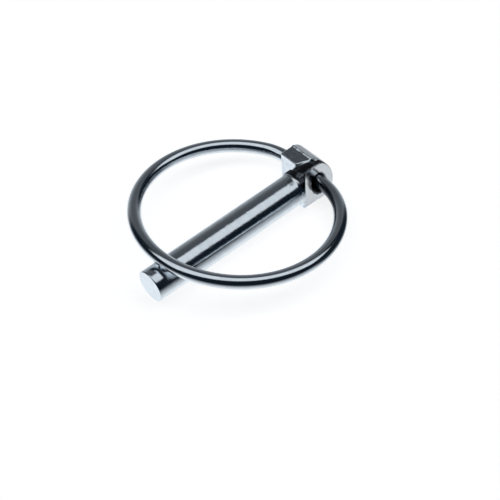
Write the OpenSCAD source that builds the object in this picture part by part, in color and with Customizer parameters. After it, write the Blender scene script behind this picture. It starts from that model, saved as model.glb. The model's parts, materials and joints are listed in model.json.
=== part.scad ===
// Lynch pin: a forged pin with an offset cross head, and a spring ring hinged in the head.
// Frame: X runs along the pin towards the head, from the face of the collar that the pin seats
// on. Z is up, and the pin lies as it comes to rest, on the flat underside of its head.
// Millimetres.

/* [Pin] */
// Diameter of the shank
pin_d = 8; // [7.6:0.1:8.1]
// Length from the tip to the centre of the ring's bore
reach = 50; // [44:0.5:60]
// Length from the face of the collar to the centre of the ring's bore
neck_l = 6.9; // [6.8:0.1:7.2]
// Length of the tapered lead at the tip, under the resting ring
lead_l = 7; // [6.5:0.5:9]
// Width of the broken edge round the tip
tip_edge = 0.3; // [0.2:0.05:0.6]

/* [Head] */
// Height of the head between its two pressed flats
head_h = 8.2; // [8.2:0.1:8.4]
// Distance from the front face of the long side to the centre of the bore
head_front = 2.9; // [2.8:0.1:3.1]
// Distance from the centre of the bore to the rounded back of the long side
head_back = 4.5; // [4.3:0.1:4.8]
// How far the long side of the head stands out from the pin's axis
long_side = 8; // [7:0.1:8.2]
// How far the cut end of the head stands out, level with the bore
cut_side = 2.45; // [2.3:0.05:2.6]
// Slope of the cut end, away from upright
cut_tilt = 19; // [14:1:22]

/* [Ring] */
// Diameter of the spring wire
wire_d = 3.3; // [3.1:0.1:3.3]
// Radius of the ring to the middle of its wire
ring_r = 23.9; // [23:0.1:25]
// How far the ring's centre lies to the long side of the pin's axis
ring_shift = 2; // [1.5:0.1:2.2]

/* [Hidden] */
round_fn = 128;
wire_fn = 48;
wide = 120; // larger than the part, for the cutting tools

// running fit of the wire in its bore, and gap under the resting ring
bore_d = wire_d + 0.12;
rest_gap = 0.1;

// shank, with a lead that tapers a little towards the tip
tip_x = neck_l - reach;
lead_taper = 0.05;
tip_r = pin_d / 2 - lead_taper;

// pressed collar between the shank and the head
collar_l = 2.7;
collar_r = 4.95;
collar_edge = 0.8;
press_r = 5.9;
press_offset = press_r - head_h / 2;

// the barrel round the bore swells slightly towards the long side
barrel_r = 4.28;
barrel_swell = 0.2;
step_y = 1.9;
back_r = head_h / 2;

// sole: the lower half of the head, squared out by the die
sole_x = 0.3;
sole_l = neck_l - sole_x;
sole_w = 4.15;
sole_h = 2.6;
sole_edge = 0.7;

// line where the shearing tool stopped, seen from above
shear_x = neck_l - 2.6;
shear_slope = 0.83;

// each stretch of the ring enters the next one by this much, and is a hair thinner than it
lap = 0.3;
draw_step = 0.02;
corner_d = wire_d - draw_step;
end_d = corner_d - draw_step;

// ring: straight ends in the bore, a corner arc at each side, and the long main arc
hinge_inset = 1.8;
end_long = long_side + 0.2;
end_cut = cut_side + 0.35;
end_l = 3.4;
centre_x = ring_r - hinge_inset;
y_long = end_long - ring_shift;
y_cut = end_cut + ring_shift;
corner_long = corner_radius(y_long);
corner_cut = corner_radius(y_cut);
turn_long = asin(y_long / (ring_r - corner_long));
turn_cut = asin(y_cut / (ring_r - corner_cut));
cross_x = centre_x + sqrt(pow(ring_r, 2) - pow(ring_shift, 2));
rest_angle = asin((pin_d / 2 + wire_d / 2 + rest_gap) / cross_x);

// radius of the arc that leaves a straight end squarely and runs into the main arc
function corner_radius(y) = (ring_r + centre_x - pow(y, 2) / hinge_inset) / 2;

// angle that a lap takes up on an arc
function lap_angle(radius) = lap / radius * 180 / PI;

// shank: broken edge at the tip, tapered lead, then the full diameter into the head
module shank() {
    translate([tip_x, 0, 0]) rotate([0, 90, 0]) {
        cylinder(h = tip_edge, r1 = tip_r - tip_edge, r2 = tip_r, $fn = round_fn);
        translate([0, 0, tip_edge])
            cylinder(h = lead_l - tip_edge, r1 = tip_r, r2 = pin_d / 2, $fn = round_fn);
        translate([0, 0, lead_l]) cylinder(h = reach - lead_l, d = pin_d, $fn = round_fn);
    }
}

// collar: bulged out sideways, flat where the dies closed, eased at both edges
module collar() {
    rotate([90, 0, 90]) intersection() {
        linear_extrude(collar_l) intersection() {
            circle(r = collar_r, $fn = round_fn);
            translate([0, -press_offset]) circle(r = press_r, $fn = round_fn);
            translate([0, press_offset]) circle(r = press_r, $fn = round_fn);
        }
        rotate_extrude($fn = round_fn) polygon([
            [0, 0],
            [collar_r - collar_edge, 0],
            [collar_r, collar_edge],
            [collar_r, collar_l - collar_edge],
            [collar_r - collar_edge, collar_l],
            [0, collar_l]
        ]);
    }
}

// long side: flat front, top and underside, and a half-round back
module ear() {
    translate([neck_l, long_side, 0]) rotate([90, 0, 0]) linear_extrude(long_side - step_y) {
        translate([-head_front, -head_h / 2]) square([head_front + head_back - back_r, head_h]);
        intersection() {
            translate([head_back - back_r, 0]) circle(r = back_r, $fn = round_fn);
            translate([0, -head_h]) square([head_h, 2 * head_h]);
        }
    }
}

// round barrel that carries the bore through to the cut end, pressed flat above and below
module barrel() {
    barrel_l = step_y + cut_side + head_h / 2;
    long_r = barrel_r + barrel_swell;
    cut_r = barrel_r - barrel_swell;
    intersection() {
        translate([neck_l, step_y, 0]) rotate([90, 0, 0])
            cylinder(h = barrel_l, r1 = long_r, r2 = cut_r, $fn = round_fn);
        translate([0, -wide / 2, -head_h / 2]) cube([wide, wide, head_h]);
    }
}

// sole: reaches forward to the collar, with eased edges
module sole() {
    translate([sole_x, 0, -head_h / 2]) intersection() {
        linear_extrude(sole_h) polygon([
            [sole_edge, -sole_w],
            [0, sole_edge - sole_w],
            [0, sole_w - sole_edge],
            [sole_edge, sole_w],
            [sole_l, sole_w],
            [sole_l, -sole_w]
        ]);
        rotate([90, 0, 90]) linear_extrude(sole_l) polygon([
            [sole_edge - sole_w, 0],
            [-sole_w, sole_edge],
            [-sole_w, sole_h],
            [sole_w, sole_h],
            [sole_w, sole_edge],
            [sole_w - sole_edge, 0]
        ]);
    }
}

// what the slanted shearing tool takes off the head and the flank of the shank
module sheared_off() {
    intersection() {
        translate([0, -cut_side, 0]) rotate([-cut_tilt, 0, 0])
            translate([-wide / 2, -wide, -wide / 2]) cube([wide, wide, wide]);
        linear_extrude(wide, center = true) polygon([
            [shear_x, 0],
            [shear_x - shear_slope * head_h, -head_h],
            [wide, -head_h],
            [wide, 0]
        ]);
    }
}

module pin() {
    color("silver") difference() {
        union() {
            shank();
            collar();
            ear();
            barrel();
            sole();
        }
        sheared_off();
        translate([neck_l, -wide / 2, 0]) rotate([-90, 0, 0])
            cylinder(h = wide, d = bore_d, $fn = round_fn);
    }
}

// part of a round wire bent to a radius, from one angle to another
module bent_wire(radius, diameter, from, to) {
    rotate([0, 0, from]) rotate_extrude(angle = to - from, $fn = round_fn)
        translate([radius, 0]) circle(d = diameter, $fn = wire_fn);
}

// ring lying flat, with the line of its bore on the Y axis
module flat_ring() {
    translate([-centre_x, ring_shift, 0])
        bent_wire(ring_r, wire_d, turn_long, 360 - turn_cut);
    translate([-corner_long, end_long, 0])
        bent_wire(corner_long, corner_d, 0, turn_long + lap_angle(corner_long));
    translate([-corner_cut, -end_cut, 0])
        bent_wire(corner_cut, corner_d, -turn_cut - lap_angle(corner_cut), 0);
    translate([0, end_long + lap, 0]) rotate([90, 0, 0])
        cylinder(h = end_l + lap, d = end_d, $fn = wire_fn);
    translate([0, -end_cut - lap, 0]) rotate([-90, 0, 0])
        cylinder(h = end_l + lap, d = end_d, $fn = wire_fn);
}

module ring() {
    color("lightsteelblue") translate([neck_l, 0, 0]) rotate([0, rest_angle, 0]) flat_ring();
}

pin();
ring();
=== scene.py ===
import json
import math

import bpy
import numpy as np
from mathutils import Matrix, Vector


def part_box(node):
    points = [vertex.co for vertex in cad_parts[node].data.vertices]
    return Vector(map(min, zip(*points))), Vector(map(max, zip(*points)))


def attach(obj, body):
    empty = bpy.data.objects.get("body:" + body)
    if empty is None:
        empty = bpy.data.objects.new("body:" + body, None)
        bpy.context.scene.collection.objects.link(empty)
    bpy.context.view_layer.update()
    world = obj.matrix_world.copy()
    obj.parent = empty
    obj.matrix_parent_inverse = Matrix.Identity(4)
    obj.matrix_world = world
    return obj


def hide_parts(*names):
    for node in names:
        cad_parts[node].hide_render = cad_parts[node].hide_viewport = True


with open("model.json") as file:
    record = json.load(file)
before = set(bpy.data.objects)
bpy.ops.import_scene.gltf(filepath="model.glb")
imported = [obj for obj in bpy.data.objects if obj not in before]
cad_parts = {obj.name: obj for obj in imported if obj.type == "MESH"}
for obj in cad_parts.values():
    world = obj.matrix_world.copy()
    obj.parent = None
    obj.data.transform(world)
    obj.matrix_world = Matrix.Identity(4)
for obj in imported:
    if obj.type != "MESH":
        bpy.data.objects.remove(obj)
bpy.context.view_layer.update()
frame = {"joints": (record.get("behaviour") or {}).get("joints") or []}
mm = 0.001

pinLow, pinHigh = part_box("pin")
tableTop = pinLow.z   # the pin lies on the flat underside of its head

noiseLow = 0.3        # noise seldom leaves the stretch between these two
noiseHigh = 0.7
tiny = 1e-6           # shorter than this, a vector has no direction


def emptyMaterial(name):
    material = bpy.data.materials.new(name)
    material.use_nodes = True
    material.node_tree.nodes.clear()
    return material, material.node_tree


def finishMaterial(material, tree, shader):
    output = addNode(tree, "ShaderNodeOutputMaterial")
    join(tree, shader, output.inputs["Surface"])
    return material


def addNode(tree, kind, **values):
    node = tree.nodes.new(kind)
    for key, value in values.items():
        setattr(node, key, value)
    return node


def join(tree, fromSocket, toSocket):
    tree.links.new(fromSocket, toSocket)


def feed(tree, socket, source):
    # a plain number or colour is set on the socket, a node's output is joined to it
    if isinstance(source, (int, float, tuple)):
        socket.default_value = source
    else:
        join(tree, source, socket)


def mathNode(tree, operation, *sources):
    node = addNode(tree, "ShaderNodeMath", operation=operation)
    for socket, source in zip(node.inputs, sources):
        feed(tree, socket, source)
    return node.outputs["Value"]


def mixNode(tree, kind, share, first, second):
    node = addNode(tree, "ShaderNodeMix", data_type=kind)
    for name, source in (("Factor", share), ("A", first), ("B", second)):
        feed(tree, node.inputs[name], source)
    return node.outputs["Result"]


def mixValues(tree, share, first, second):
    return mixNode(tree, "FLOAT", share, first, second)


def mixColours(tree, share, first, second):
    return mixNode(tree, "RGBA", share, first, second)


def rangeNode(tree, noise, low, high):
    # noise spread over a range of values
    node = addNode(tree, "ShaderNodeMapRange")
    join(tree, noise, node.inputs["Value"])
    node.inputs["From Min"].default_value = noiseLow
    node.inputs["From Max"].default_value = noiseHigh
    node.inputs["To Min"].default_value = low
    node.inputs["To Max"].default_value = high
    return node.outputs["Result"]


def stepNode(tree, source, start, end):
    # rises softly from 0 at the start to 1 at the end
    node = addNode(tree, "ShaderNodeMapRange", interpolation_type="SMOOTHSTEP")
    join(tree, source, node.inputs["Value"])
    node.inputs["From Min"].default_value = start
    node.inputs["From Max"].default_value = end
    return node.outputs["Result"]


def windowNode(tree, source, edges, soft):
    # 1 between two edges and 0 outside them
    low, high = edges
    rise = stepNode(tree, source, low - soft, low + soft)
    fall = stepNode(tree, source, high + soft, high - soft)
    return mathNode(tree, "MULTIPLY", rise, fall)


def noiseNode(tree, where, size, detail):
    node = addNode(tree, "ShaderNodeTexNoise")
    node.inputs["Scale"].default_value = 1 / size
    node.inputs["Detail"].default_value = detail
    join(tree, where, node.inputs["Vector"])
    return node.outputs["Fac"]


def paintedNode(tree, name):
    # what is painted on the points of a piece: a share in Fac, or a place in Vector
    return addNode(tree, "ShaderNodeAttribute", attribute_type="GEOMETRY", attribute_name=name).outputs


def bumpNode(tree, height, depth, under=None, strength=1.0):
    bump = addNode(tree, "ShaderNodeBump")
    bump.inputs["Distance"].default_value = depth
    feed(tree, bump.inputs["Strength"], strength)
    join(tree, height, bump.inputs["Height"])
    if under:
        join(tree, under, bump.inputs["Normal"])
    return bump.outputs["Normal"]


shot = {
    "azimuth": -128.12,        # where the camera stands, seen from above, from +X towards +Y
    "elevation": 47.68,
    "roll": -4.69,             # the camera is tipped a little
    "distance": 296.4 * mm,
    "aim": Vector((-19.7, -7.4, 0.0)) * mm,
    "lens": 93.6,
    "nearest": 10 * mm,        # nothing closer than this is drawn
}


def makeCamera():
    azimuth = math.radians(shot["azimuth"])
    elevation = math.radians(shot["elevation"])
    level = math.cos(elevation)
    back = Vector((math.cos(azimuth) * level, math.sin(azimuth) * level, math.sin(elevation)))
    camera = bpy.data.objects.new("camera", bpy.data.cameras.new("camera"))
    bpy.context.scene.collection.objects.link(camera)
    roll = Matrix.Rotation(math.radians(shot["roll"]), 4, "Z")
    turn = back.to_track_quat("Z", "Y").to_matrix().to_4x4() @ roll
    camera.matrix_world = Matrix.Translation(shot["aim"] + back * shot["distance"]) @ turn
    camera.data.lens = shot["lens"]
    camera.data.clip_start = shot["nearest"]
    bpy.context.scene.camera = camera


studio = {
    # brightness of the room at each height of the direction, from -1 straight down to 1
    # straight up: the dark near side of the room, its grey far wall and its darkest corner,
    # each over the pale table
    "nearSide": (
        (-1.0, 0.85), (-0.77, 0.71), (-0.57, 0.56), (-0.42, 0.40),
        (-0.25, 0.20), (-0.07, 0.016), (0.12, 0.009), (1.0, 0.012),
    ),
    "farWall": (
        (-1.0, 0.86), (-0.57, 0.83), (-0.26, 0.58), (-0.09, 0.37), (0.09, 0.30),
        (0.26, 0.20), (0.42, 0.135), (0.57, 0.10), (0.71, 0.086), (1.0, 0.06),
    ),
    "corner": (
        (-1.0, 0.92), (-0.72, 0.80), (-0.57, 0.38), (-0.42, 0.09),
        (-0.26, 0.02), (-0.06, 0.012), (1.0, 0.012),
    ),
    # headings are in degrees from +X towards +Y, and edges are cosines away from them, from
    # where a part of the room begins to where it is full
    "farHeading": 52,
    "farEdges": (0.50, 0.82),
    "cornerHeading": -20,
    "cornerEdges": (0.78, 0.93),
    # the table is brightest where a second lamp falls on it, past the tip of the pin
    "poolHeading": 128,
    "poolEdges": (0.55, 0.95),
    "poolDepth": (0.40, 0.62),
    "poolLevel": 1.0,
    # the soft box overhead, as a window one unit above the pin: its long axis and its edges
    "boxHeading": -30,
    "boxLong": (-1.45, 1.65),
    "boxAcross": (-0.46, 0.385),
    "boxEdge": 0.09,
    "boxLevel": 0.77,
    "horizon": 0.01,           # the window is worked out for directions above this height
    "boxRise": (0.0, 0.05),    # and fades in between these
    "red": (0.97, -0.004),     # share of the brightness in red and blue, and what is added
    "blue": (1.03, 0.006),
    "leastRed": 0.4,
    # the white backdrop, and how far down and how strongly the metal shows it
    "backdropColour": (1.0, 1.0, 1.0, 1.0),
    "backdropDepth": (0.66, 1.0),
    "backdropShare": 0.7,
    "tableColour": (0.92, 0.90, 0.87, 1.0),
    "tableReach": 4.0,
    "tableWash": 0.74,         # how far the table is lifted towards white for the camera
}


def roomColour(level):
    # the room's shade is bluer than its light
    red = studio["red"][0] * level + studio["red"][1]
    blue = studio["blue"][0] * level + studio["blue"][1]
    return (max(red, studio["leastRed"] * level), level, blue, 1.0)


def levelRamp(tree, height, levels):
    # one brightness for each height from -1 to 1
    place = mathNode(tree, "MULTIPLY_ADD", height, 0.5, 0.5)
    ramp = addNode(tree, "ShaderNodeValToRGB")
    stops = ramp.color_ramp.elements
    stops.remove(stops[1])
    for number, (at, level) in enumerate(levels):
        stop = stops[0] if number == 0 else stops.new((at + 1) / 2)
        stop.position = (at + 1) / 2
        stop.color = roomColour(level)
    join(tree, place, ramp.inputs["Fac"])
    return ramp.outputs["Color"]


def alongNode(tree, toward, degrees):
    # how far a direction points along a level heading
    node = addNode(tree, "ShaderNodeVectorMath", operation="DOT_PRODUCT")
    heading = math.radians(degrees)
    join(tree, toward, node.inputs[0])
    node.inputs[1].default_value = (math.cos(heading), math.sin(heading), 0)
    return node.outputs["Value"]


def wallsOf(tree, toward, height):
    # the walls and the table, by heading and height
    squared = mathNode(tree, "MULTIPLY", height, height)
    levelPart = mathNode(tree, "SQRT", mathNode(tree, "SUBTRACT", 1.0, squared))

    def towards(heading, edges):
        cosine = mathNode(tree, "DIVIDE", alongNode(tree, toward, heading), levelPart)
        return stepNode(tree, cosine, *edges)

    walls = levelRamp(tree, height, studio["nearSide"])
    inFar = towards(studio["farHeading"], studio["farEdges"])
    walls = mixColours(tree, inFar, walls, levelRamp(tree, height, studio["farWall"]))
    inCorner = towards(studio["cornerHeading"], studio["cornerEdges"])
    walls = mixColours(tree, inCorner, walls, levelRamp(tree, height, studio["corner"]))
    depth = mathNode(tree, "MULTIPLY", height, -1.0)
    inPool = towards(studio["poolHeading"], studio["poolEdges"])
    inPool = mathNode(tree, "MULTIPLY", inPool, stepNode(tree, depth, *studio["poolDepth"]))
    return mixColours(tree, inPool, walls, roomColour(studio["poolLevel"])), depth


def boxShareOf(tree, toward, height):
    # 1 inside the soft box
    above = mathNode(tree, "MAXIMUM", height, studio["horizon"])
    along = mathNode(tree, "DIVIDE", alongNode(tree, toward, studio["boxHeading"]), above)
    across = mathNode(tree, "DIVIDE", alongNode(tree, toward, studio["boxHeading"] + 90), above)
    inLength = windowNode(tree, along, studio["boxLong"], studio["boxEdge"])
    inWidth = windowNode(tree, across, studio["boxAcross"], studio["boxEdge"])
    inBox = mathNode(tree, "MULTIPLY", inLength, inWidth)
    return mathNode(tree, "MULTIPLY", inBox, stepNode(tree, height, *studio["boxRise"]))


def makeRoom():
    world = bpy.data.worlds.new("studioRoom")
    bpy.context.scene.world = world
    world.use_nodes = True
    tree = world.node_tree
    tree.nodes.clear()
    toward = addNode(tree, "ShaderNodeTexCoord").outputs["Generated"]
    parts = addNode(tree, "ShaderNodeSeparateXYZ")
    join(tree, toward, parts.inputs["Vector"])
    height = parts.outputs["Z"]
    walls, depth = wallsOf(tree, toward, height)
    room = addNode(tree, "ShaderNodeBackground")
    lit = mixColours(tree, boxShareOf(tree, toward, height), walls, roomColour(studio["boxLevel"]))
    join(tree, lit, room.inputs["Color"])
    backdrop = addNode(tree, "ShaderNodeBackground")
    backdrop.inputs["Color"].default_value = studio["backdropColour"]
    # the camera sees the white backdrop all round, the metal only where it faces well down
    path = addNode(tree, "ShaderNodeLightPath").outputs
    mirrored = mathNode(tree, "ADD", path["Is Glossy Ray"], path["Is Transmission Ray"])
    facing = stepNode(tree, depth, *studio["backdropDepth"])
    facing = mathNode(tree, "MULTIPLY", facing, studio["backdropShare"])
    inMetal = mathNode(tree, "MULTIPLY", mirrored, facing)
    mix = addNode(tree, "ShaderNodeMixShader")
    join(tree, mathNode(tree, "MAXIMUM", path["Is Camera Ray"], inMetal), mix.inputs["Fac"])
    join(tree, room.outputs["Background"], mix.inputs[1])
    join(tree, backdrop.outputs["Background"], mix.inputs[2])
    output = addNode(tree, "ShaderNodeOutputWorld")
    join(tree, mix.outputs["Shader"], output.inputs["Surface"])


def makeTable():
    bpy.ops.mesh.primitive_plane_add(size=studio["tableReach"], location=(0, 0, tableTop))
    table = bpy.context.object
    table.name = "table"
    material, tree = emptyMaterial("paleTable")
    diffuse = addNode(tree, "ShaderNodeBsdfDiffuse")
    diffuse.inputs["Color"].default_value = studio["tableColour"]
    wash = addNode(tree, "ShaderNodeEmission")
    path = addNode(tree, "ShaderNodeLightPath").outputs
    lift = mathNode(tree, "MULTIPLY", path["Is Camera Ray"], studio["tableWash"])
    join(tree, lift, wash.inputs["Strength"])
    both = addNode(tree, "ShaderNodeAddShader")
    join(tree, diffuse.outputs["BSDF"], both.inputs[0])
    join(tree, wash.outputs["Emission"], both.inputs[1])
    table.data.materials.append(finishMaterial(material, tree, both.outputs["Shader"]))
    table.visible_glossy = False   # the metal shows the room's own pale lower half instead


plating = {
    "colour": (0.81, 0.875, 0.93, 1.0),
    "deepColour": (0.71, 0.77, 0.825, 1.0),
    "cloudSize": 2.2 * mm,     # size of the faint clouds in the zinc
    "cloudDetail": 3.0,
    "cloudShare": (0.2, 1.0),  # how pale the clouds are, and the fine speckle over them
    "fineShare": (0.5, 1.0),
    "roughLow": 0.09,
    "roughHigh": 0.17,
    "rippleSize": 1.6 * mm,    # ripple that the forging dies leave under the plate
    "rippleDepth": 0.022 * mm,
    "rippleDetail": 1.0,
    "speckleSize": 0.7 * mm,   # grain of the forged skin
    "speckleDepth": 0.017 * mm,
    "fineDetail": 2.0,         # of the grain, the dents and the lines along the wire
    "dentSize": 1.1 * mm,      # shallow dents in the head
    "dentDepth": 0.02 * mm,
    "dentDull": 0.5,
    "dullColour": (0.42, 0.46, 0.50, 1.0),
    "tornColour": (0.93, 0.97, 1.0, 1.0),   # metal that the shearing tool tore
    "tornDeep": (0.84, 0.89, 0.93, 1.0),
    "roughTorn": 0.30,
    "roughHighlight": 0.30,
    "highlightShare": 0.6,
    "scaleShadeColour": (0.045, 0.05, 0.06, 1.0),   # black of the forge scale, also used for painted shade
    "scaleShadeEdges": (0.15, 0.8),
    "scaleShadeRagged": 0.16,
    "roughScaleShade": 0.22,
    "wireSmooth": 6,           # the wire's ripple is this many times lower than the forging's
    "lineSize": 1.0,           # lines along the drawn wire, on the wire's own grain
    "lineDepth": 0.0012 * mm,
    "lineRough": (-0.02, 0.03),
    "shadeShare": 0.85,         # how dark the painted shade on the wire is
}


def zincBase(name):
    # the zinc itself: faint clouds in its colour and gloss
    material, tree = emptyMaterial(name)
    place = addNode(tree, "ShaderNodeTexCoord").outputs["Object"]
    shader = addNode(tree, "ShaderNodeBsdfPrincipled")
    shader.inputs["Metallic"].default_value = 1.0
    clouds = noiseNode(tree, place, plating["cloudSize"], plating["cloudDetail"])
    fine = noiseNode(tree, place, plating["speckleSize"], plating["cloudDetail"])
    pale = rangeNode(tree, clouds, *plating["cloudShare"])
    pale = mathNode(tree, "MULTIPLY", pale, rangeNode(tree, fine, *plating["fineShare"]))
    colour = mixColours(tree, pale, plating["deepColour"], plating["colour"])
    rough = rangeNode(tree, clouds, plating["roughHigh"], plating["roughLow"])
    return material, tree, shader, place, colour, rough


def rippleNode(tree, place, depth):
    ripple = noiseNode(tree, place, plating["rippleSize"], plating["rippleDetail"])
    return bumpNode(tree, ripple, depth)


def forgingPlate():
    material, tree, shader, place, colour, rough = zincBase("zincOnForging")
    torn = paintedNode(tree, "torn")["Fac"]
    paintedHighlight = paintedNode(tree, "paintedHighlight")["Fac"]
    dented = paintedNode(tree, "dented")["Fac"]
    speckle = noiseNode(tree, place, plating["speckleSize"], plating["fineDetail"])
    # the head is duller in its shallow dents
    dent = noiseNode(tree, place, plating["dentSize"], plating["fineDetail"])
    dull = mathNode(tree, "MULTIPLY", dented, rangeNode(tree, dent, plating["dentDull"], 0.0))
    colour = mixColours(tree, dull, colour, plating["dullColour"])
    # torn metal is pale and dull, and the painted highlight is nearly as pale and as dull
    pale = rangeNode(tree, speckle, 0.0, 1.0)
    pale = mixColours(tree, pale, plating["tornDeep"], plating["tornColour"])
    colour = mixColours(tree, torn, colour, pale)
    # painted highlight: lighter towards the torn metal's colour
    worn = mathNode(tree, "MULTIPLY", paintedHighlight, plating["highlightShare"])
    colour = mixColours(tree, worn, colour, plating["tornColour"])
    rough = mixValues(tree, paintedHighlight, rough, plating["roughHighlight"])
    rough = mixValues(tree, torn, rough, plating["roughTorn"])
    # black scale shows through the plate, with a ragged edge; the same mask also carries painted shade
    ragged = rangeNode(tree, speckle, -plating["scaleShadeRagged"], plating["scaleShadeRagged"])
    scaleShadeMask = mathNode(tree, "ADD", paintedNode(tree, "scaleAndPaintedShade")["Fac"], ragged)
    scaleShadeMask = stepNode(tree, scaleShadeMask, *plating["scaleShadeEdges"])
    join(tree, mixColours(tree, scaleShadeMask, colour, plating["scaleShadeColour"]), shader.inputs["Base Color"])
    join(tree, mixValues(tree, scaleShadeMask, rough, plating["roughScaleShade"]), shader.inputs["Roughness"])
    skin = rippleNode(tree, place, plating["rippleDepth"])
    skin = bumpNode(tree, dent, plating["dentDepth"], skin, dented)
    skin = bumpNode(tree, speckle, plating["speckleDepth"], skin)
    join(tree, skin, shader.inputs["Normal"])
    return finishMaterial(material, tree, shader.outputs["BSDF"])


def wirePlate():
    material, tree, shader, place, colour, rough = zincBase("zincOnWire")
    # painted shade on the inside of the ring, next to the head
    paintedShade = mathNode(tree, "MULTIPLY", paintedNode(tree, "paintedShade")["Fac"], plating["shadeShare"])
    join(tree, mixColours(tree, paintedShade, colour, plating["scaleShadeColour"]), shader.inputs["Base Color"])
    # faint lines that the drawing die left along the wire
    grain = paintedNode(tree, "grain")["Vector"]
    lines = noiseNode(tree, grain, plating["lineSize"], plating["fineDetail"])
    rough = mathNode(tree, "ADD", rough, rangeNode(tree, lines, *plating["lineRough"]))
    join(tree, rough, shader.inputs["Roughness"])
    skin = rippleNode(tree, place, plating["rippleDepth"] / plating["wireSmooth"])
    skin = bumpNode(tree, lines, plating["lineDepth"], skin)
    join(tree, skin, shader.inputs["Normal"])
    return finishMaterial(material, tree, shader.outputs["BSDF"])


# The forging, in millimetres and degrees: a shank, a pressed collar, the long side of the
# head, the barrel round the bore, and the sole under them.
forging = {
    "tip": pinLow.x / mm,
    "bore": frame["joints"][0]["pos_m"][0] / mm,   # where the ring's bore crosses the pin
    "boreRadius": 1.71,
    "shankRadius": 4.0,
    "lead": 7.0,               # the tip tapers a hair over this length
    "leadTaper": 0.05,
    "tipRound": 0.30,
    "shankEndRound": 0.1,
    "height": -pinLow.z / mm,  # half the height of the head
    "restGap": 0.002,          # the flat underside stays this far inside the box
    # collar
    "collarLong": 2.7,
    "collarRadius": 4.95,
    "collarPress": 5.9,        # radius of its pressed top and underside
    "pressRound": 0.3,
    "bulgeRound": 0.15,
    "flankLean": 54,           # its upper flanks, from level
    "nearFlank": 4.2,
    "farFlank": 4.3,
    "flankRound": 0.3,
    "collarLead": 25,          # slope of its front
    "collarLift": 0.03,
    "collarLeadRound": 0.08,
    "collarRound": 0.5,
    "collarFillet": 0.06,      # between it and the shank
    # long side
    "longSide": pinHigh.y / mm,
    "front": 2.9,              # its front, ahead of the bore
    "back": pinHigh.x / mm,
    "longSideEnd": 1.2,        # where it ends, level with the bore
    "longSideSkew": -0.39,
    "edgeRound": 0.42,
    "frontRound": 0.3,
    "innerRound": 0.7,
    # ridge of flash along the top of the long side
    "ridgeAt": 7.9,
    "ridgeHeight": 0.3,
    "ridgeFront": 33,          # its slopes
    "ridgeBack": 30,
    "ridgeRound": 0.1,
    "ridgeFoot": 1.0,          # it goes no lower than this
    "ridgeShift": 0.3,         # middle of its footprint, behind its crest
    "ridgeReach": 1.2,
    # barrel
    "barrelRadius": 4.28,
    "barrelSwell": 0.0473,     # growth of its radius towards the long side
    "grooveDepth": 0.5,        # the pressed band between the long side and the cut end
    "grooveRun": 2.4,
    "grooveRound": 0.25,
    "barrelTuck": 0.5,         # how far it runs on inside the long side
    "tuckRound": 0.9,
    # sole
    "soleFront": 0.3,
    "soleWide": 4.15,
    "soleTop": -1.5,
    "soleRound": 0.8,
    # cut end, and the mouth of the bore, which is worn wider forwards and downwards
    "cutSide": 2.45,
    "cutTilt": 19,
    "cutRound": 0.26,
    "shearStart": 4.3,
    "shearSlope": 0.83,
    "mouthWear": 0.62,
    "mouthDepth": 1.1,
    "mouthForward": 0.65,      # how the wear moves the mouth and widens it
    "mouthDown": 0.7,
    "mouthWider": 0.7,
    "mouthRound": 0.22,
    "fillet": 0.35,            # in the inner corners of the head
    # unevenness of the forged skin: its height, then each wave's pace along X, Y and Z and start
    "waviness": 0.010,
    "waves": ((2.1, 0.0, 1.3, 0.7), (-1.1, 1.7, 0.0, 0.4), (0.0, 1.9, 2.6, 0.0)),
    # torn face: its soft edges, and how far it leans, as a share of its normal
    "tornFace": (-0.24, -0.04),
    "tornStop": (-0.05, 0.25),
    "tear": 0.42,
    # black scale, and painted shade in the head's recesses, at the bore's mouth and on the torn face.
    # Turns are degrees round the pin, with 90 on top.
    "innerEdge": (-0.02, 0.08),   # soft inner end of the long side
    "bandRise": (0.3, 1.2),       # black scale with painted shade in its pressed recess, as a band across the head, by height and by distance from the bore
    "bandStart": (-3.0, -2.2),
    "neckStart": (0.45, 0.85),    # painted shade on the collar and the neck behind it
    "neckEnd": (-2.6, -1.8),
    "neckTurns": ((-15, 12), (138, 158)),
    "patchAt": (2.2, -0.65),      # the painted shade is thinner on this patch
    "patchSize": (1.4, 0.85),
    "patchEdge": (0.5, 1.3),
    "patchShare": 0.42,
    "stripAlong": ((-2.6, -1.2), (-0.2, 0.0)),   # faint darker strip on top of the shank, in front of the collar
    "stripTurns": ((84, 94), (112, 124)),
    "stripShare": 0.42,
    "mouthShade": (0.0, 0.8),      # painted shade in the mouth of the bore
    "mouthInside": (-2.4, -1.6),
    "shadeAt": (-2.3, 0.7),        # painted shade on the torn face, between the neck and the bore
    "shadeSize": (1.6, 2.1),
    "shadeEdge": (0.5, 1.2),
    "shadeShare": 0.72,
    # painted highlight: the back of the long side, and the front edge of the collar
    "highlightBack": (0.0, 0.3),
    "highlightAlong": ((0.0, 0.12), (0.42, 0.55)),
    "highlightTurns": ((84, 92), (122, 130)),
    "dentedFrom": (-0.3, 0.2),    # dents begin at the front of the long side
    # cells of the mesh: fine at the tip and on the head, long on the plain shank
    "tipCell": 0.12,
    "tipStretch": 0.8,
    "shankCell": 0.9,
    "headCell": 0.115,
    "headStart": -1.0,
    "gridFront": 0.4,          # how far the grid reaches past the forging on each side
    "gridBack": 0.35,
    "gridUnder": 0.3,
    "gridOver": 0.45,
    "gridNear": -5.4,
}


def roundMax(first, second, size):
    # larger of two distances, with the sharp corner between them eased
    near = np.maximum(size - np.abs(first - second), 0)
    return np.maximum(first, second) + near * near / (4 * size)


def roundMin(first, second, size):
    return -roundMax(-first, -second, size)


def smoothStep(value, low, high):
    share = np.clip((value - low) / (high - low), 0, 1)
    return share * share * (3 - 2 * share)


def between(value, edges):
    # rises over the first pair of edges and falls over the second
    rise, fall = edges
    return smoothStep(value, *rise) * (1 - smoothStep(value, *fall))


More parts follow.
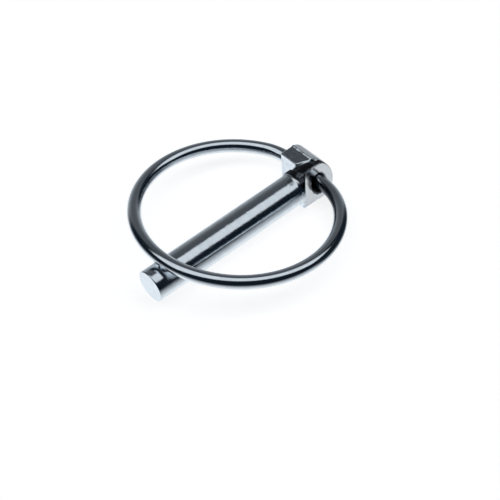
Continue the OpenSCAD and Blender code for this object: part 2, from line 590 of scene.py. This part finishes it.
def shankDistance(x, y, z):
    f = forging
    along = np.clip((f["tip"] + f["lead"] - x) / f["lead"], 0, 1)
    side = np.hypot(y, z) - f["shankRadius"] + f["leadTaper"] * along
    side = roundMax(side, f["tip"] - x, f["tipRound"])
    return roundMax(side, x - f["bore"], f["shankEndRound"])


def collarDistance(x, y, z):
    f = forging
    out = np.hypot(y, z)
    offset = f["collarPress"] - f["height"]
    pressed = roundMax(np.hypot(y, z + offset), np.hypot(y, z - offset), f["pressRound"])
    side = roundMax(pressed - f["collarPress"], out - f["collarRadius"], f["bulgeRound"])
    lean = math.radians(f["flankLean"])
    near = z * math.cos(lean) - y * math.sin(lean) - f["nearFlank"]
    far = z * math.cos(lean) + y * math.sin(lean) - f["farFlank"]
    side = roundMax(roundMax(side, near, f["flankRound"]), far, f["flankRound"])
    slope = math.radians(f["collarLead"])
    lead = (out - f["shankRadius"] + f["collarLift"]) * math.cos(slope) - x * math.sin(slope)
    side = roundMax(side, lead, f["collarLeadRound"])
    return roundMax(side, x - f["collarLong"], f["collarRound"])


def longSideInner(x, y):
    # how far a place lies past the inner end of the long side
    return forging["longSideEnd"] + forging["longSideSkew"] * (x - forging["bore"]) - y


def longSideDistance(x, y, z):
    f = forging
    centre = f["back"] - f["height"]
    outline = np.where(x > centre, np.hypot(x - centre, z), np.abs(z)) - f["height"]
    shape = roundMax(outline, f["bore"] - f["front"] - x, f["frontRound"])
    shape = roundMax(shape, y - f["longSide"], f["edgeRound"])
    return roundMax(shape, longSideInner(x, y), f["innerRound"])


def ridgeDistance(x, y, z):
    # low ridge of flash, steeper in front, that runs out on the round of the back
    f = forging
    front = math.radians(f["ridgeFront"])
    back = math.radians(f["ridgeBack"])
    above = z - f["height"] - f["ridgeHeight"]
    behind = x - f["ridgeAt"]
    fore = above * math.cos(front) - behind * math.sin(front)
    aft = above * math.cos(back) + behind * math.sin(back)
    ridge = roundMax(fore, aft, f["ridgeRound"])
    ridge = roundMax(ridge, y - f["longSide"], f["edgeRound"])
    ridge = roundMax(ridge, longSideInner(x, y), f["innerRound"])
    ridge = np.maximum(ridge, f["ridgeFoot"] - z)
    return np.maximum(ridge, np.abs(behind - f["ridgeShift"]) - f["ridgeReach"])


def barrelDistance(x, y, z):
    f = forging
    radius = f["barrelRadius"] + f["barrelSwell"] * (y + f["cutSide"])
    side = np.hypot(x - f["bore"], z) - radius
    inner = longSideInner(x, y)
    # the pressed band is deepest against the long side and runs out at the cut end
    groove = f["grooveDepth"] * np.clip(1 - inner / f["grooveRun"], 0, 1)
    side = roundMax(side, np.abs(z) - f["height"] + np.where(z > 0, groove, 0), f["grooveRound"])
    return roundMax(side, -inner - f["barrelTuck"], f["tuckRound"])


def soleDistance(x, y, z):
    f = forging
    shape = roundMax(f["soleFront"] - x, np.abs(y) - f["soleWide"], f["soleRound"])
    shape = roundMax(shape, -f["height"] - z, f["soleRound"])
    return np.maximum(np.maximum(shape, z - f["soleTop"]), x - f["bore"])


def cutFields(x, y, z):
    # the slanted face that the shearing tool left, and where the tool stopped
    f = forging
    tilt = math.radians(f["cutTilt"])
    face = z * math.sin(tilt) - (y + f["cutSide"]) * math.cos(tilt)
    stop = (x - f["shearStart"] - f["shearSlope"] * y) / math.hypot(1, f["shearSlope"])
    return face, stop


def boreDistance(x, y, z):
    f = forging
    face = cutFields(x, y, z)[0]
    worn = f["mouthWear"] * np.clip(1 + face / f["mouthDepth"], 0, 1) ** 2
    across = x - f["bore"]
    mouth = np.hypot(across + worn * f["mouthForward"], z + worn * f["mouthDown"])
    mouth = mouth - f["boreRadius"] - worn * f["mouthWider"]
    return np.minimum(np.hypot(across, z) - f["boreRadius"], mouth)


def skinWave(x, y, z):
    first, second, third = [
        np.sin(alongX * x + alongY * y + alongZ * z + start)
        for alongX, alongY, alongZ, start in forging["waves"]
    ]
    return 1 + (first * second + third) / 2


def forgingDistance(x, y, z):
    # less than nothing inside the forging, more than nothing outside it
    f = forging
    longSide = roundMin(longSideDistance(x, y, z), ridgeDistance(x, y, z), f["ridgeRound"])
    body = roundMin(shankDistance(x, y, z), collarDistance(x, y, z), f["collarFillet"])
    for part in (barrelDistance(x, y, z), soleDistance(x, y, z), longSide):
        body = roundMin(body, part, f["fillet"])
    body = body + f["waviness"] * skinWave(x, y, z) * np.clip(x, 0, 1)
    face, stop = cutFields(x, y, z)
    body = roundMax(body, np.minimum(face, stop), f["cutRound"])
    body = np.maximum(body, f["restGap"] - f["height"] - z)
    body = np.maximum(body, x - f["back"])
    return roundMax(body, -boreDistance(x, y, z), f["mouthRound"])


# How the forging's mesh is drawn from its distances.
skinning = {
    "rounds": 5,               # how often the points are moved onto the surface
    "furthest": 0.08,          # in millimetres, each time
    "leastSlope": 0.2,
    "slopeReach": 0.004,
}


def gridLines(*stretches):
    # grid places along one axis: each stretch is (from, to, size of a cell)
    lines = []
    for low, high, cell in stretches:
        count = max(2, round((high - low) / cell) + 1)
        lines.append(np.linspace(low, high, count)[:-1])
    return np.concatenate(lines + [[high]])


def forgingGrid():
    f = forging
    fineFrom = f["tip"] + f["tipStretch"]
    cell = f["headCell"]
    along = gridLines(
        (f["tip"] - f["gridFront"], fineFrom, f["tipCell"]),
        (fineFrom, f["headStart"], f["shankCell"]),
        (f["headStart"], f["back"] + f["gridBack"], cell),
    )
    across = gridLines((f["gridNear"], f["longSide"] + f["gridBack"], cell))
    upward = gridLines((-f["height"] - f["gridUnder"], f["height"] + f["gridOver"], cell))
    return along, across, upward


def edgeEnds(axis, margin):
    # the two ends of every grid edge along one axis, as slices
    near = [margin] * 3
    far = [margin] * 3
    near[axis] = slice(0, -1)
    far[axis] = slice(1, None)
    return tuple(near), tuple(far)


def skinPoints(axes, values):
    # one point in each grid cell that the surface passes through, at the middle of its crossings
    cells = [size - 1 for size in values.shape]
    total = np.zeros(cells + [3])
    count = np.zeros(cells)
    places = np.meshgrid(*axes, indexing="ij")
    for axis in range(3):
        near, far = edgeEnds(axis, slice(None))
        first = values[near]
        second = values[far]
        crossing = (first < 0) != (second < 0)
        share = np.where(crossing, first / np.where(crossing, first - second, 1), 0)
        point = np.stack([place[near] for place in places], -1)
        point[..., axis] += share * (places[axis][far] - places[axis][near])
        others = [other for other in range(3) if other != axis]
        for shiftA in (0, 1):
            for shiftB in (0, 1):
                part = [slice(None)] * 3
                part[others[0]] = slice(shiftA, shiftA + cells[others[0]])
                part[others[1]] = slice(shiftB, shiftB + cells[others[1]])
                total += point[tuple(part)] * crossing[tuple(part)][..., None]
                count += crossing[tuple(part)]
    used = count > 0
    number = np.full(cells, -1)
    number[used] = np.arange(used.sum())
    return total[used] / count[used][:, None], number


def skinFaces(values, number):
    # one four-sided face round each grid edge that crosses the surface
    faces = []
    for axis in range(3):
        sideA = (axis + 1) % 3
        sideB = (axis + 2) % 3
        near, far = edgeEnds(axis, slice(1, -1))
        inside = values[near] < 0
        spots = np.argwhere(inside != (values[far] < 0))
        outward = inside[tuple(spots.T)]
        spots[:, [sideA, sideB]] += 1
        ring = []
        for shiftA, shiftB in ((-1, -1), (0, -1), (0, 0), (-1, 0)):
            cell = spots.copy()
            cell[:, sideA] += shiftA
            cell[:, sideB] += shiftB
            ring.append(number[tuple(cell.T)])
        ring = np.stack(ring, 1)
        faces.append(np.where(outward[:, None], ring, ring[:, ::-1]))
    return np.concatenate(faces)


def slopeAt(distance, points):
    reach = skinning["slopeReach"]
    slope = np.zeros_like(points)
    for axis in range(3):
        step = np.zeros(3)
        step[axis] = reach
        slope[:, axis] = (distance(*(points + step).T) - distance(*(points - step).T)) / (2 * reach)
    return slope


def unitLength(vectors):
    length = np.maximum(np.linalg.norm(vectors, axis=1), tiny)
    return vectors / length[:, None]


def skinOf(distance, axes, name):
    # mesh of the surface where the distance is nothing, with its points and normals
    values = distance(*np.meshgrid(*axes, indexing="ij"))
    points, number = skinPoints(axes, values)
    furthest = skinning["furthest"]
    for turn in range(skinning["rounds"]):
        slope = slopeAt(distance, points)
        squared = np.maximum((slope * slope).sum(1), skinning["leastSlope"] ** 2)
        move = (distance(*points.T) / squared)[:, None] * slope
        points = points - np.clip(move, -furthest, furthest)
    mesh = bpy.data.meshes.new(name)
    mesh.from_pydata((points * mm).tolist(), [], skinFaces(values, number).tolist())
    mesh.validate()
    mesh.shade_smooth()
    return mesh, points, unitLength(slopeAt(distance, points))


def paintShare(mesh, name, share):
    layer = mesh.attributes.new(name, "FLOAT", "POINT")
    layer.data.foreach_set("value", share.astype(np.float32))


def ovalDistance(first, second, at, size):
    # 1 on the edge of an oval, less inside it
    return np.hypot((first - at[0]) / size[0], (second - at[1]) / size[1])


def scaleShadeShare(x, y, z, torn):
    # where the black scale and the painted shade are, and how much of them
    f = forging
    fromBore = x - f["bore"]
    turn = np.degrees(np.arctan2(z, y))
    offLongSide = smoothStep(longSideInner(x, y), *f["innerEdge"])
    band = offLongSide * smoothStep(z, *f["bandRise"]) * smoothStep(fromBore, *f["bandStart"])
    # painted shade on the collar and the neck, where the shank's dark reflection band runs on
    neck = smoothStep(x, *f["neckStart"]) * (1 - smoothStep(fromBore, *f["neckEnd"]))
    neck = neck * between(turn, f["neckTurns"]) * offLongSide
    patch = smoothStep(ovalDistance(x, y, f["patchAt"], f["patchSize"]), *f["patchEdge"])
    neck = neck * (f["patchShare"] + (1 - f["patchShare"]) * patch)
    # darker on top of the shank, just in front of the collar
    strip = f["stripShare"] * between(x, f["stripAlong"]) * between(turn, f["stripTurns"])
    forged = np.maximum(np.maximum(band, neck), strip) * (1 - torn)
    face = cutFields(x, y, z)[0]
    # painted shade in the mouth of the bore, where the wire comes out
    mouth = 1 - smoothStep(boreDistance(x, y, z), *f["mouthShade"])
    mouth = mouth * smoothStep(face, *f["mouthInside"])
    # painted shade on the torn face, between the neck and the bore
    paintedShade = smoothStep(ovalDistance(fromBore, z, f["shadeAt"], f["shadeSize"]), *f["shadeEdge"])
    paintedShade = f["shadeShare"] * (1 - paintedShade) * torn
    return np.maximum(forged, np.maximum(mouth, paintedShade))


def makeForging():
    f = forging
    mesh, points, normals = skinOf(forgingDistance, forgingGrid(), "forgedPin")
    x, y, z = points.T
    face, stop = cutFields(x, y, z)
    torn = smoothStep(face, *f["tornFace"]) * smoothStep(stop, *f["tornStop"])
    # the shearing tool drew the torn face downwards a little
    normals[:, 2] -= f["tear"] * torn
    mesh.normals_split_custom_set_from_vertices(unitLength(normals).tolist())
    turn = np.degrees(np.arctan2(z, y))
    # painted highlight on the collar's front edge and the back of the long side
    paintedHighlight = between(x, f["highlightAlong"]) * between(turn, f["highlightTurns"])
    paintedHighlight = np.maximum(paintedHighlight, smoothStep(x - f["ridgeAt"], *f["highlightBack"]))
    paintShare(mesh, "torn", torn)
    # painted highlight, together with the torn face
    paintShare(mesh, "paintedHighlight", np.maximum(paintedHighlight, torn))
    # black scale and painted shade, as one mask
    paintShare(mesh, "scaleAndPaintedShade", scaleShadeShare(x, y, z, torn))
    paintShare(mesh, "dented", smoothStep(x - f["bore"] + f["front"], *f["dentedFrom"]))
    mesh.materials.append(forgingPlate())
    piece = bpy.data.objects.new("forgedPin", mesh)
    bpy.context.scene.collection.objects.link(piece)
    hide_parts("pin")
    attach(piece, "pin")
    print("forging made,", len(mesh.vertices), "points")


# The spring ring, in millimetres: straight ends in the bore, a corner at each side of the
# head, and the long main arc, all in one leaning plane.
springWire = {
    "radius": 1.645,
    "ringRadius": 23.9,
    "shift": 2.0,              # how far the ring's centre lies to the long side
    "inset": 1.8,              # how far the line of the bore lies inside the ring
    "endLong": 8.2,            # where the corners begin, at each side of the head
    "endCut": 2.8,
    "endLength": 3.4,
    "endRound": 0.35,
    "endFlat": 0.96,           # how nearly the rounding closes on the flat of the end
    "restGap": 0.1,            # between the resting ring and the shank
    "spacing": 0.32,
    "sides": 44,
    "grainRound": 9,           # how fast the drawn grain changes round the wire and along it
    "grainAlong": 0.05,
    "shadeTurn": 35,            # the painted shade's place round the wire, in degrees, and its soft edges
    "shadeEdges": (-0.1, 0.45),
    "shadeFade": (7, 17),       # how far from the cut end it fades
}


def wirePath():
    # middle of the wire with its direction, in the ring's own plane
    w = springWire
    centre = w["ringRadius"] - w["inset"]
    sides = (w["endLong"] - w["shift"], w["endCut"] + w["shift"])
    corners = [(w["ringRadius"] + centre - side * side / w["inset"]) / 2 for side in sides]
    turns = [math.asin(side / (w["ringRadius"] - corner)) for side, corner in zip(sides, corners)]
    arcs = (
        (-corners[0], w["endLong"], corners[0], 0, turns[0]),
        (-centre, w["shift"], w["ringRadius"], turns[0], 2 * math.pi - turns[1]),
        (-corners[1], -w["endCut"], corners[1], -turns[1], 0),
    )
    places = []
    headings = []
    straight = np.arange(0, w["endLength"], w["spacing"])
    for distance in straight:
        places.append((0, w["endLong"] - w["endLength"] + distance))
        headings.append(math.pi / 2)
    for centreX, centreY, radius, start, end in arcs:
        for angle in np.linspace(start, end, round(radius * (end - start) / w["spacing"]) + 1)[:-1]:
            places.append((centreX + radius * math.cos(angle), centreY + radius * math.sin(angle)))
            headings.append(angle + math.pi / 2)
    for distance in np.append(straight, w["endLength"]):
        places.append((0, -w["endCut"] + distance))
        headings.append(math.pi / 2)
    return np.array(places), np.array(headings)


def wirePoints(places, headings, length, angles):
    # rings of points round the path, drawn in a little at the two ends, leaning on the shank
    w = springWire
    fromEnd = np.minimum(length, length[-1] - length)
    draw = np.clip(1 - fromEnd / w["endRound"], 0, 1)
    radius = w["radius"] - w["endRound"] * (1 - np.sqrt(1 - draw * draw * w["endFlat"]))
    outward = np.stack([np.sin(headings), -np.cos(headings), 0 * headings], 1)
    upward = np.array([0, 0, 1])
    spokes = np.cos(angles)[:, None] * outward[:, None] + np.sin(angles)[:, None] * upward
    middle = np.column_stack([places, np.zeros(len(places))])
    points = (middle[:, None] + radius[:, None, None] * spokes).reshape(-1, 3)
    crossing = w["ringRadius"] - w["inset"] + math.sqrt(w["ringRadius"] ** 2 - w["shift"] ** 2)
    rest = math.asin((forging["shankRadius"] + w["radius"] + w["restGap"]) / crossing)
    points = points @ np.array(Matrix.Rotation(rest, 3, "Y")).T
    points[:, 0] += forging["bore"]
    return points


def tubeFaces(count, sides):
    # four-sided faces between neighbouring rings of points, and one flat face on each end
    faces = []
    for row in range(count - 1):
        for side in range(sides):
            following = (side + 1) % sides
            here = row * sides
            ahead = here + sides
            faces.append((here + side, ahead + side, ahead + following, here + following))
    faces.append(tuple(range(sides)))
    faces.append(tuple(reversed(range((count - 1) * sides, count * sides))))
    return faces


def makeWire():
    w = springWire
    places, headings = wirePath()
    count = len(places)
    sides = w["sides"]
    angles = np.linspace(0, 2 * math.pi, sides, endpoint=False)
    steps = np.linalg.norm(np.diff(places, axis=0), axis=1)
    length = np.concatenate([[0], np.cumsum(steps)])
    points = wirePoints(places, headings, length, angles)
    mesh = bpy.data.meshes.new("springRing")
    mesh.from_pydata((points * mm).tolist(), [], tubeFaces(count, sides))
    mesh.validate()
    mesh.shade_smooth()
    # the grain follows the wire: it changes quickly round it and slowly along it
    grain = np.stack([
        np.tile(w["grainRound"] * np.cos(angles), count),
        np.tile(w["grainRound"] * np.sin(angles), count),
        np.repeat(w["grainAlong"] * length, sides),
    ], 1)
    layer = mesh.attributes.new("grain", "FLOAT_VECTOR", "POINT")
    layer.data.foreach_set("vector", grain.astype(np.float32).ravel())
    # the painted shade lies where the inner side of the wire comes out of the cut end
    inward = smoothStep(-np.cos(angles - math.radians(w["shadeTurn"])), *w["shadeEdges"])
    nearEnd = 1 - smoothStep(length[-1] - length - w["endLength"], *w["shadeFade"])
    paintShare(mesh, "paintedShade", np.tile(inward, count) * np.repeat(nearEnd, sides))
    mesh.materials.append(wirePlate())
    piece = bpy.data.objects.new("springRing", mesh)
    bpy.context.scene.collection.objects.link(piece)
    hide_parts("ring")
    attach(piece, "ring")
    print("spring ring made,", len(mesh.vertices), "points")


bpy.context.scene.view_settings.view_transform = "Standard"
makeCamera()
print("camera placed")
makeRoom()
makeTable()
print("room and table made")
makeForging()
makeWire()
